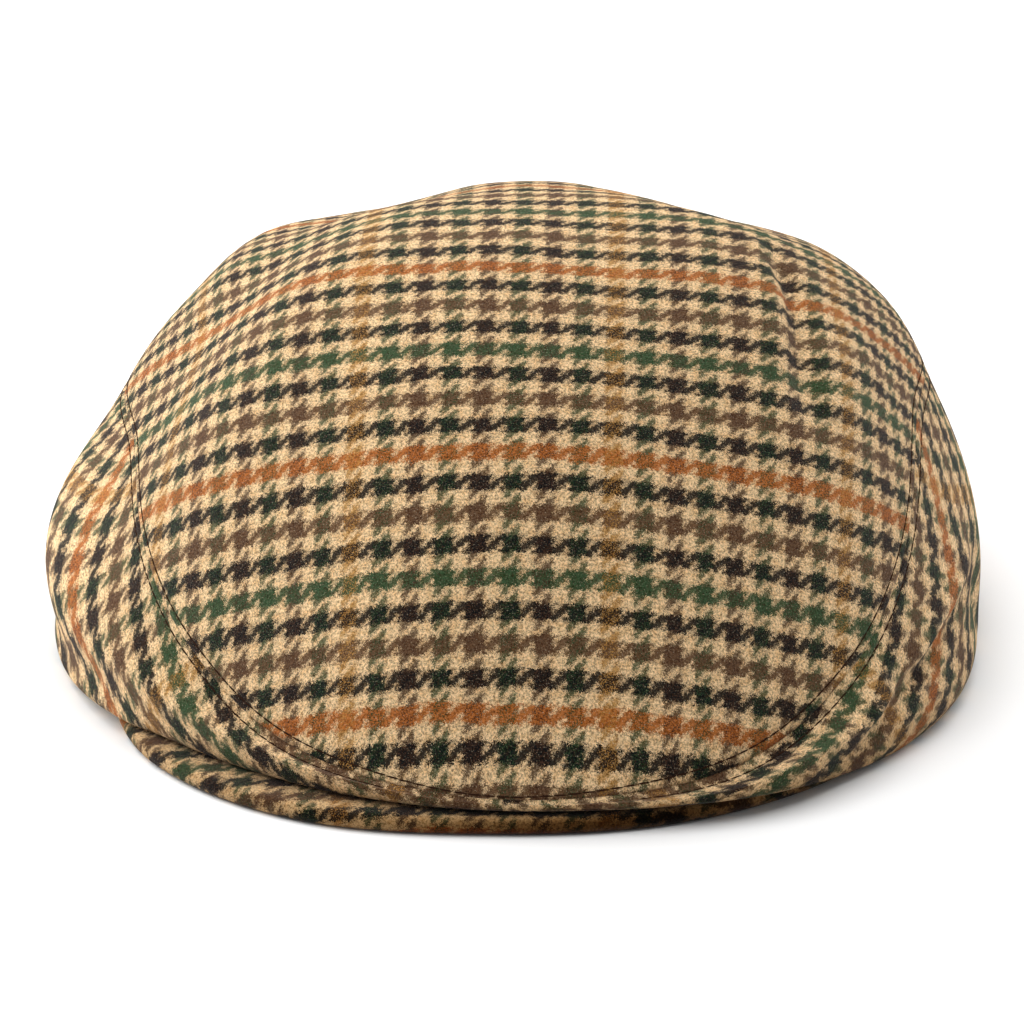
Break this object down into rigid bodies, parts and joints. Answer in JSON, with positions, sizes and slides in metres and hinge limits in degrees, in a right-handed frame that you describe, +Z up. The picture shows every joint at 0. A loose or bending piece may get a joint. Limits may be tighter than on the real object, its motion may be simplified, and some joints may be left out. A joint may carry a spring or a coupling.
{
  "type": "flat cap",
  "caption": "Soft flat cap in checked wool tweed: a one-piece domed top sewn to puffed side panels, its front resting on a short stiff peak, open below for the head.",
  "frame": {"origin": "on the resting surface, below the centre of the cap's outline in plan", "axes": "+Z up, -Y towards the front edge of the peak, +X to the right as seen from the front"},
  "size_m": [0.2224, 0.2477, 0.1048],
  "materials": {
    "tweed": "milled wool tweed, small check of dark, brown, rust and green threads on a tan ground, matt and slightly fuzzy"
  },
  "bodies": {
    "root": {"crown_top": "tweed", "side_left": "tweed", "side_right": "tweed", "peak": "tweed"}
  },
  "joints": []
}
